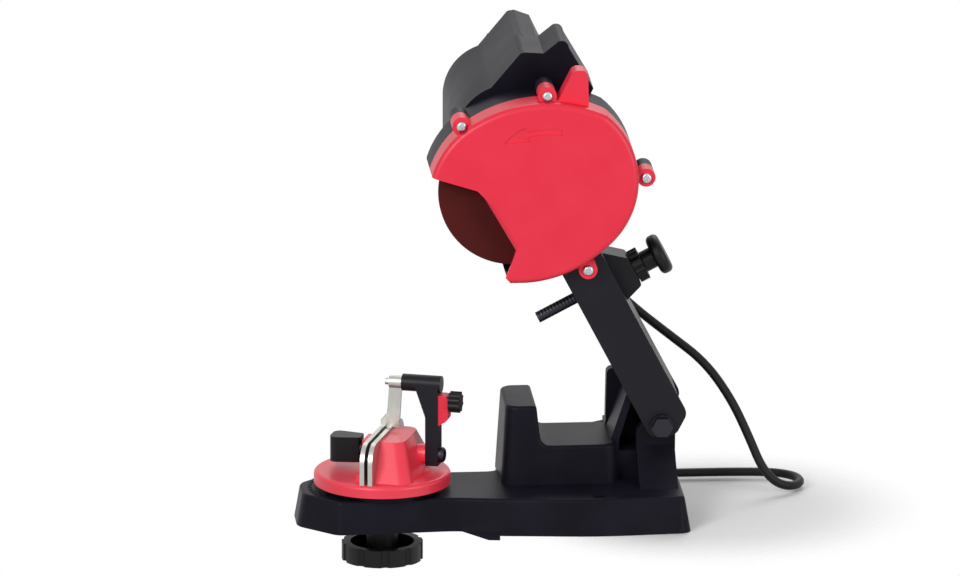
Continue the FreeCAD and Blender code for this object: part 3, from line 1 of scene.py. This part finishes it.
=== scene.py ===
import json
import math
import bpy
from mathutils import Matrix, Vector

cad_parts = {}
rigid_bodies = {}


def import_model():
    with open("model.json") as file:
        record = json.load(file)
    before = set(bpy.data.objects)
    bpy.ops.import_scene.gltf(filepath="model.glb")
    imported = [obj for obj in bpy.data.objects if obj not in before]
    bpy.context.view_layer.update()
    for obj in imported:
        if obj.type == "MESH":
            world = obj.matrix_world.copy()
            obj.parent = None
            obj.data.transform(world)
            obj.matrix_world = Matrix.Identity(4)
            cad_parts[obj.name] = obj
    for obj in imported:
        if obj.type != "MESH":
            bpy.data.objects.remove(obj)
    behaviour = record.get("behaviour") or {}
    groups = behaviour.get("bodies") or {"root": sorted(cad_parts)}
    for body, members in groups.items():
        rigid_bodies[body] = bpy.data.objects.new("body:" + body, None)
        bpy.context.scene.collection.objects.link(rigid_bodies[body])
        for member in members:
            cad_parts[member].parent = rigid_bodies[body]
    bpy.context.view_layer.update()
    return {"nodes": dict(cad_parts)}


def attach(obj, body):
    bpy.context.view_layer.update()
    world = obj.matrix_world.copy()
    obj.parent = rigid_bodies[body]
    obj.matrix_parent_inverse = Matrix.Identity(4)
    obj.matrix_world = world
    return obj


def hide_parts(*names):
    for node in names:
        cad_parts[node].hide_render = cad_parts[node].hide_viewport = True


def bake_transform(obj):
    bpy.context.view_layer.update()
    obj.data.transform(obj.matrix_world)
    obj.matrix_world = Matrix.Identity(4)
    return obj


for thing in list(bpy.data.objects):
    bpy.data.objects.remove(thing)
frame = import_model()
cad = frame["nodes"]
scene = bpy.context.scene
scene.view_settings.view_transform = "Standard"


# Camera: a long lens a little left of square and above the machine.
# The frame is 960 by 576 and 672 mm wide at the machine.
aim = Vector((-0.0794, 0.0, 0.1633))
to_camera = Vector((-0.0758, -0.963, 0.2588)).normalized()
camera_distance = 12.0
frame_width = 0.672
sensor_width = 36.0
camera_data = bpy.data.cameras.new("camera")
camera_data.sensor_width = sensor_width
camera_data.lens = sensor_width * camera_distance / frame_width
camera = bpy.data.objects.new("camera", camera_data)
camera.location = aim + to_camera * camera_distance
camera.rotation_euler = to_camera.to_track_quat("Z", "Y").to_euler()
scene.collection.objects.link(camera)
scene.camera = camera


# Studio: a white room, three soft lamps and a pale bench top.
# The bench ends at the base's lip, so the knob hangs in front of it.
def linear(hex_colour):
    channels = []
    for i in (0, 2, 4):
        c = int(hex_colour[i:i + 2], 16) / 255
        channels.append(c / 12.92 if c <= 0.04045 else ((c + 0.055) / 1.055) ** 2.4)
    return (*channels, 1.0)


def add(tree, kind, settings=None, links=None):
    """Add a node, set its inputs and properties, and link sockets to it."""
    made = tree.nodes.new(kind)
    for key, value in (settings or {}).items():
        if key in made.inputs:
            made.inputs[key].default_value = value
        else:
            setattr(made, key, value)
    for key, socket in (links or {}).items():
        tree.links.new(socket, made.inputs[key])
    return made


def white_where_seen(tree, lit, output):
    """Plain white to the camera, in gloss and through glass; the lit shader for everything else."""
    path = add(tree, "ShaderNodeLightPath")
    seen = add(tree, "ShaderNodeMath", {"operation": "MAXIMUM"})
    tree.links.new(path.outputs["Is Camera Ray"], seen.inputs[0])
    tree.links.new(path.outputs["Is Glossy Ray"], seen.inputs[1])
    seen_all = add(tree, "ShaderNodeMath", {"operation": "MAXIMUM"})
    tree.links.new(seen.outputs[0], seen_all.inputs[0])
    tree.links.new(path.outputs["Is Transmission Ray"], seen_all.inputs[1])
    white = add(tree, "ShaderNodeBackground", {"Color": (1, 1, 1, 1), "Strength": 1.0})
    mix = add(tree, "ShaderNodeMixShader")
    tree.links.new(seen_all.outputs[0], mix.inputs[0])
    tree.links.new(lit.outputs[0], mix.inputs[1])
    tree.links.new(white.outputs[0], mix.inputs[2])
    tree.links.new(mix.outputs[0], output.inputs["Surface"])


room = bpy.data.worlds.new("white_room")
room.use_nodes = True
room.node_tree.nodes.clear()
room_light = add(room.node_tree, "ShaderNodeBackground", {"Color": (1, 1, 1, 1), "Strength": 0.26})
white_where_seen(room.node_tree, room_light, add(room.node_tree, "ShaderNodeOutputWorld"))
scene.world = room
lamp_aim = Vector((-0.05, 0, 0.15))
for lamp_name, place, watts, size in (("key_lamp", (-0.9, -1.3, 0.9), 16.0, 0.7),
                                      ("fill_lamp", (1.1, -1.2, 0.5), 9.0, 0.8),
                                      ("rim_lamp", (0.3, 1.2, 1.3), 8.0, 0.9)):
    lamp_data = bpy.data.lights.new(lamp_name, "AREA")
    lamp_data.energy = watts
    lamp_data.size = size
    lamp = bpy.data.objects.new(lamp_name, lamp_data)
    lamp.location = place
    lamp.rotation_euler = (Vector(place) - lamp_aim).to_track_quat("Z", "Y").to_euler()
    scene.collection.objects.link(lamp)

bench_edge, bench_right, bench_near, bench_back, bench_z = -0.0705, 1.6, -1.2, 1.6, -0.0004
fade_x, fade_start, fade_end = 0.085, 0.06, 0.155
bench_mesh = bpy.data.meshes.new("bench_top")
bench_mesh.from_pydata([(bench_edge, bench_near, bench_z), (bench_right, bench_near, bench_z),
                        (bench_right, bench_back, bench_z), (bench_edge, bench_back, bench_z)],
                       [], [(0, 1, 2, 3)])
bench = bpy.data.objects.new("bench_top", bench_mesh)
scene.collection.objects.link(bench)
bench_paint = bpy.data.materials.new("bench_white_laminate")
bench_paint.use_nodes = True
bench_tree = bench_paint.node_tree
bench_shader = bench_tree.nodes["Principled BSDF"]
bench_shader.inputs["Base Color"].default_value = linear("f4f4f4")
bench_shader.inputs["Roughness"].default_value = 0.7
bench_where = add(bench_tree, "ShaderNodeTexCoord").outputs["Object"]
bench_centre = add(bench_tree, "ShaderNodeMapping", {"Location": (-fade_x, 0.0, 0.0)},
                   {"Vector": bench_where})
bench_far = add(bench_tree, "ShaderNodeVectorMath", {"operation": "LENGTH"}, {0: bench_centre.outputs[0]})
bench_fade = add(bench_tree, "ShaderNodeMapRange", {"From Min": fade_start, "From Max": fade_end,
                 "interpolation_type": "SMOOTHSTEP"}, {"Value": bench_far.outputs["Value"]})
bench_mix = add(bench_tree, "ShaderNodeMixShader",
                links={0: bench_fade.outputs["Result"], 1: bench_shader.outputs[0]})
bench_tree.links.new(add(bench_tree, "ShaderNodeBsdfTransparent").outputs[0], bench_mix.inputs[2])
bench_tree.links.new(bench_mix.outputs[0], bench_tree.nodes["Material Output"].inputs["Surface"])
bench_mesh.materials.append(bench_paint)


# Base moulding: injection-moulded black plastic with a fine sparked grain from the tool.
# The grain breaks up the shine; handling leaves a faint mottling.
def moulded_plastic(name, hex_colour, worn_hex, roughness, grain_mm, grain_depth, gloss=0.2):
    mottle_mm = 35.0
    finish = bpy.data.materials.new(name)
    finish.use_nodes = True
    tree = finish.node_tree
    shader = tree.nodes["Principled BSDF"]
    shader.inputs["IOR"].default_value = 1.5
    shader.inputs["Specular IOR Level"].default_value = gloss
    where = add(tree, "ShaderNodeTexCoord").outputs["Object"]
    mottle = add(tree, "ShaderNodeTexNoise", {"Scale": 1000.0 / mottle_mm, "Detail": 4.0}, {"Vector": where})
    tint = add(tree, "ShaderNodeValToRGB", links={"Fac": mottle.outputs["Fac"]})
    tint.color_ramp.elements[0].position = 0.35
    tint.color_ramp.elements[0].color = linear(hex_colour)
    tint.color_ramp.elements[1].position = 0.75
    tint.color_ramp.elements[1].color = linear(worn_hex)
    tree.links.new(tint.outputs["Color"], shader.inputs["Base Color"])
    shine = add(tree, "ShaderNodeMapRange", {"To Min": roughness - 0.06, "To Max": roughness + 0.08},
                {"Value": mottle.outputs["Fac"]})
    tree.links.new(shine.outputs["Result"], shader.inputs["Roughness"])
    grain = add(tree, "ShaderNodeTexNoise", {"Scale": 1000.0 / grain_mm, "Detail": 2.0}, {"Vector": where})
    relief = add(tree, "ShaderNodeBump", {"Strength": grain_depth, "Distance": 0.0003},
                 {"Height": grain.outputs["Fac"]})
    tree.links.new(relief.outputs["Normal"], shader.inputs["Normal"])
    return finish


def finish_nodes(material, *names):
    for name in names:
        mesh = cad[name].data
        mesh.materials.clear()
        mesh.materials.append(material)


black_moulding = moulded_plastic("black_moulded_polypropylene", "110f18", "191722", 0.42, 1.4, 0.3, 0.08)
finish_nodes(black_moulding, "base")


# Angle marks: short raised ticks moulded on the nose in front of the turntable.
# They step every five degrees and read the vise's swing.
tick_paint = moulded_plastic("raised_tick_plastic", "202024", "2a2a2e", 0.45, 1.2, 0.2)
nose_x, nose_y, tick_z = -0.1495, -0.017, 0.0256
tick_tree = bpy.data.node_groups.new("angle_ticks", "GeometryNodeTree")
tick_tree.interface.new_socket("Geometry", in_out="OUTPUT", socket_type="NodeSocketGeometry")
tick_inputs = {}
for label, amount in (("Radius", 0.0508), ("Tick length", 0.0028),
                      ("Tick width", 0.0006), ("Tick height", 0.0008)):
    socket = tick_tree.interface.new_socket(label, in_out="INPUT", socket_type="NodeSocketFloat")
    tick_inputs[socket.identifier] = amount
tick_in = add(tick_tree, "NodeGroupInput")
tick_span = {"Resolution": 11, "Start Angle": math.radians(155), "Sweep Angle": math.radians(50)}
arc = add(tick_tree, "GeometryNodeCurveArc", tick_span, {"Radius": tick_in.outputs["Radius"]})
spots = add(tick_tree, "GeometryNodeCurveToPoints", {"mode": "EVALUATED"}, {"Curve": arc.outputs["Curve"]})
tick_size = add(tick_tree, "ShaderNodeCombineXYZ", links={"X": tick_in.outputs["Tick length"],
                "Y": tick_in.outputs["Tick width"], "Z": tick_in.outputs["Tick height"]})
tick = add(tick_tree, "GeometryNodeMeshCube", links={"Size": tick_size.outputs[0]})
heading = add(tick_tree, "GeometryNodeInputPosition")
aligned = add(tick_tree, "FunctionNodeAlignRotationToVector", {"axis": "X"}, {"Vector": heading.outputs[0]})
placed = add(tick_tree, "GeometryNodeInstanceOnPoints", links={"Points": spots.outputs["Points"],
             "Instance": tick.outputs["Mesh"], "Rotation": aligned.outputs[0]})
moved = add(tick_tree, "GeometryNodeTransform", {"Translation": (nose_x, nose_y, tick_z)},
            {"Geometry": placed.outputs["Instances"]})
real = add(tick_tree, "GeometryNodeRealizeInstances", links={"Geometry": moved.outputs[0]})
painted = add(tick_tree, "GeometryNodeSetMaterial", {"Material": tick_paint}, {"Geometry": real.outputs[0]})
add(tick_tree, "NodeGroupOutput", links={"Geometry": painted.outputs[0]})
seed_object = bpy.data.objects.new("tick_seed", bpy.data.meshes.new("tick_seed"))
scene.collection.objects.link(seed_object)
tick_modifier = seed_object.modifiers.new("ticks", "NODES")
tick_modifier.node_group = tick_tree
for identifier, amount in tick_inputs.items():
    tick_modifier[identifier] = amount
bpy.context.view_layer.update()
tick_mesh = bpy.data.meshes.new_from_object(seed_object.evaluated_get(bpy.context.evaluated_depsgraph_get()))
bpy.data.objects.remove(seed_object)
angle_marks = bpy.data.objects.new("angle_marks", tick_mesh)
scene.collection.objects.link(angle_marks)
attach(angle_marks, "base")


# Hinge and fasteners: zinc-plated steel, turned and rolled, with fine drawing lines.
# The plating is bright with a slightly uneven shine.
def plated_steel(name, hex_colour, roughness, line_mm):
    line_stretch = 14.0
    finish = bpy.data.materials.new(name)
    finish.use_nodes = True
    tree = finish.node_tree
    shader = tree.nodes["Principled BSDF"]
    shader.inputs["Metallic"].default_value = 1.0
    shader.inputs["Base Color"].default_value = linear(hex_colour)
    where = add(tree, "ShaderNodeTexCoord").outputs["Object"]
    stretch = add(tree, "ShaderNodeMapping", {"Scale": (1.0, 1.0, line_stretch)}, {"Vector": where})
    lines = add(tree, "ShaderNodeTexNoise", {"Scale": 1000.0 / (line_stretch * line_mm), "Detail": 3.0},
                {"Vector": stretch.outputs[0]})
    shine = add(tree, "ShaderNodeMapRange", {"To Min": roughness - 0.08, "To Max": roughness + 0.12},
                {"Value": lines.outputs["Fac"]})
    tree.links.new(shine.outputs["Result"], shader.inputs["Roughness"])
    relief = add(tree, "ShaderNodeBump", {"Strength": 0.15, "Distance": 0.0002},
                 {"Height": lines.outputs["Fac"]})
    tree.links.new(relief.outputs["Normal"], shader.inputs["Normal"])
    return finish


zinc = plated_steel("zinc_plated_steel", "b9bcc0", 0.3, 0.6)
dark_steel = plated_steel("black_oxide_steel", "34343a", 0.4, 0.6)
finish_nodes(dark_steel, "hinge_bolt", "hinge_washers", "hinge_nut", "return_spring")


# Swing arm: die-cast channel with a satin black coat over the cast skin.
# The coat is smoother than the plastic and shows a soft sheen.
arm_coat = moulded_plastic("satin_black_coat", "0f0d14", "18161e", 0.42, 2.4, 0.2)
finish_nodes(arm_coat, "arm")


# Depth stop: a black steel rod with a moulded knob and a lobed lock nut.
# The rod's thread is too fine to model and is drawn as a 1.25 mm wave.
thread = dark_steel.copy()
thread.name = "black_threaded_steel"
rolled = thread.node_tree
lean = math.radians(27.5)
along_rod = add(rolled, "ShaderNodeMapping", {"Rotation": (0.0, lean, 0.0)},
                {"Vector": rolled.nodes["Texture Coordinate"].outputs["Object"]})
thread_pitch_mm = 1.25
pitch_wave = add(rolled, "ShaderNodeTexWave", {"Scale": 1000.0 / thread_pitch_mm * math.pi / 20.0,
                 "bands_direction": "X"}, {"Vector": along_rod.outputs[0]})
ridge = add(rolled, "ShaderNodeBump", {"Strength": 0.3, "Distance": 0.0006},
            {"Height": pitch_wave.outputs["Fac"]})
rolled.links.new(ridge.outputs["Normal"], rolled.nodes["Principled BSDF"].inputs["Normal"])
finish_nodes(thread, "stop_rod")
knob_plastic = moulded_plastic("black_knob_nylon", "0a0a0c", "121215", 0.42, 1.6, 0.2)
finish_nodes(knob_plastic, "stop_knob", "stop_lock_nut", "vise_knob", "clamp_knob", "adjuster_knob")


# Wheel cover: a bright red ABS moulding, screwed to the guard ring through four ears.
# The tool was polished, so it is glossy with a faint orange peel.
red_plastic = moulded_plastic("red_moulded_abs", "ee2d45", "f2364d", 0.38, 3.0, 0.12, 0.35)
finish_nodes(red_plastic, "wheel_cover", "adjuster_block")
finish_nodes(zinc, "cover_screws", "housing_screws")


# Motor housing: two black halves screwed together from behind, with the guard ring on the front one.
# They are moulded in the same grained plastic as the base, and so are the fan and the brush plate.
finish_nodes(black_moulding, "front_housing", "rear_housing", "cooling_fan", "brush_plate")


# Grinding wheel: brown fused-alumina grit in a resin bond.
# The grit is drawn at about a millimetre so that it shows.
abrasive = moulded_plastic("brown_alumina_wheel", "470f0e", "561815", 0.8, 1.0, 0.9)
finish_nodes(abrasive, "grinding_wheel")


# Arbor and motor: a turned steel shaft, flanges and bearings, mostly hidden by the cover and housing.
# The armature and stator are stacked iron sheets, and the commutator is drawn copper.
laminated_iron = plated_steel("laminated_iron", "6d6d70", 0.5, 0.5)
copper = plated_steel("commutator_copper", "b8794f", 0.35, 0.5)
carbon = moulded_plastic("brush_carbon", "1a1a1a", "242424", 0.6, 0.8, 0.3)
finish_nodes(zinc, "motor_shaft", "inner_flange", "outer_flange", "arbor_nut")
finish_nodes(zinc, "front_bearing", "rear_bearing")
finish_nodes(laminated_iron, "armature", "stator")
finish_nodes(copper, "commutator")
finish_nodes(carbon, "brushes")


# Switch: a snap-in rocker switch in the rear wall, moulded in black nylon.
# Its smooth bezel and rocker shine more than the housing round them.
switch_gloss = moulded_plastic("black_switch_nylon", "101012", "17171a", 0.25, 2.0, 0.05)
finish_nodes(switch_gloss, "power_switch", "switch_rocker")


# Vise: a red painted casting that turns on the nose, with two ground steel rails screwed to it.
# The black bracket is coated like the arm and carries the steel chain stop on a pin.
red_paint = moulded_plastic("red_paint_on_casting", "f4394e", "fa475b", 0.34, 2.6, 0.15, 0.45)
ground_steel = plated_steel("ground_spring_steel", "b4b3ae", 0.34, 0.9)
finish_nodes(red_paint, "turntable")
finish_nodes(ground_steel, "rail_left", "rail_right", "chain_stop")
finish_nodes(zinc, "rail_screws", "chain_stop_pin", "clamp_screw", "vise_stud", "stud_washer")
finish_nodes(dark_steel, "bracket_bolt")
finish_nodes(arm_coat, "bracket")


# Power cord: a round rubber lead that drops from the motor to the bench and is put away in a tied coil.
# One smooth line runs from the strain relief to the plug, and the tube follows it.
rubber = moulded_plastic("black_lead_rubber", "121214", "1a1a1c", 0.5, 1.8, 0.15)
cord_d = 0.0063
coil_x, coil_near_y, coil_z = 0.0, 0.077, 0.00445
coil_inner, coil_step, coil_layer, coil_turns, coil_tail = 0.023, 0.0084, 0.0074, 3, 0.014
coil_outer = coil_inner + coil_step * coil_turns
hinge_x, hinge_z, wheel_forward, wheel_up = 0.0475, 0.064, 0.013, 0.2024
relief_turn, relief_reach, relief_y = math.radians(-50), 0.0714, 0.077
lean_sin, lean_cos = math.sin(lean), math.cos(lean)
axle_x = hinge_x - wheel_forward * lean_cos - wheel_up * lean_sin
axle_z = hinge_z - wheel_forward * lean_sin + wheel_up * lean_cos
cord_exit = Vector((axle_x + relief_reach * math.cos(relief_turn), relief_y,
                    axle_z + relief_reach * math.sin(relief_turn)))
route = [cord_exit]
for x, y, z in ((0, 77, 169), (15, 76, 147), (35, 73, 127.5), (60, 66, 108.5), (84, 57, 91), (102, 47.5, 66),
                (114, 38.5, 40), (122, 32.5, 20), (132, 30.5, 8.5), (144, 34, 4.5), (152, 46, 4.5),
                (149, 62, 4.5), (136, 73, 4.5), (112, 76, 4.5), (80, 77, 4.45)):
    route.append(Vector((x, y, z)) / 1000)
per_turn = 16
# Control points lie a little outside the turn, so that the curve itself keeps the turn's radius.
swell = 1 / math.cos(math.pi / per_turn)
half_turns = 2 * coil_turns
for i in range(per_turn * (2 * half_turns + 1) // 2 + 1):
    step = 2 * i / per_turn
    climb = min(max(step - half_turns, 0.0), 1.0)
    inward = min(step, half_turns)
    outward = max(step - half_turns - 1, 0.0)
    radius = (coil_outer - coil_step * inward / 2 + coil_step * outward / 2) * swell
    turn = -math.pi / 2 - math.pi * step
    height = coil_z + coil_layer * climb
    spot_y = coil_near_y + coil_outer + radius * math.sin(turn)
    route.append(Vector((coil_x + radius * math.cos(turn), spot_y, height)))
tail = Vector((coil_x + coil_tail, coil_near_y + 2 * coil_outer, coil_z + coil_layer))
route[-1] = Vector((coil_x, tail.y, tail.z))
route.append(tail)


def cord_curve(name, bevel):
    data = bpy.data.curves.new(name, "CURVE")
    data.dimensions = "3D"
    data.resolution_u = 6
    data.bevel_depth = bevel
    data.bevel_resolution = 3
    data.use_fill_caps = True
    spline = data.splines.new("NURBS")
    spline.points.add(len(route) - 1)
    for point, spot in zip(spline.points, route):
        point.co = (*spot, 1.0)
    spline.order_u = 3
    spline.use_endpoint_u = True
    made = bpy.data.objects.new(name, data)
    scene.collection.objects.link(made)
    bpy.context.view_layer.update()
    mesh = bpy.data.meshes.new_from_object(made.evaluated_get(bpy.context.evaluated_depsgraph_get()))
    bpy.data.objects.remove(made)
    return mesh


cord_line = [v.co.copy() for v in cord_curve("cord_line", 0.0).vertices]
cord_mesh = cord_curve("cord_tube", cord_d / 2)
cord_mesh.materials.clear()
cord_mesh.materials.append(rubber)
for face in cord_mesh.polygons:
    face.use_smooth = True
cord = bpy.data.objects.new("power_cord", cord_mesh)
scene.collection.objects.link(cord)
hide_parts("cord_free", "cord_coil")
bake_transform(cord)


# Cord tie: a soft rubber band pulled round the wound turns, where the solid is a loose square loop.
# It crosses the coil on its +X side, and its corners follow the innermost and outermost turns.
tie_width, tie_thickness, tie_slack, corner_points = 0.006, 0.0008, 0.0003, 7
tie_near_x = coil_x + coil_inner + coil_step / 4
tie_far_x = coil_x + coil_outer - 0.75 * coil_step
tie_y = coil_near_y + coil_outer
rings = []
for beyond, side in ((0.0, -0.5), (tie_thickness, -0.5), (tie_thickness, 0.5), (0.0, 0.5)):
    reach = cord_d / 2 + tie_slack + beyond
    ring = []
    for quarter, (x, z) in enumerate(((tie_far_x, coil_z + coil_layer), (tie_near_x, coil_z + coil_layer),
                                      (tie_near_x, coil_z), (tie_far_x, coil_z))):
        for i in range(corner_points):
            angle = math.pi / 2 * (quarter + i / (corner_points - 1))
            ring.append((x + reach * math.cos(angle), tie_y + side * tie_width, z + reach * math.sin(angle)))
    rings.append(ring)
around = len(rings[0])
tie_faces = []
for k in range(4):
    here, there = k * around, (k + 1) % 4 * around
    for i in range(around):
        after = (i + 1) % around
        tie_faces.append((here + i, there + i, there + after, here + after))
tie_mesh = bpy.data.meshes.new("cord_band")
tie_mesh.from_pydata([spot for ring in rings for spot in ring], [], tie_faces)
tie_mesh.materials.append(rubber)
cord_band = bpy.data.objects.new("cord_band", tie_mesh)
scene.collection.objects.link(cord_band)
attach(cord_band, "base")
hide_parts("cord_tie")


# Plug: a moulded rubber body with two solid brass pins.
finish_nodes(rubber, "strain_relief", "plug_body")
pin_brass = plated_steel("plug_pin_brass", "c2a15c", 0.3, 0.6)
finish_nodes(pin_brass, "plug_pins")
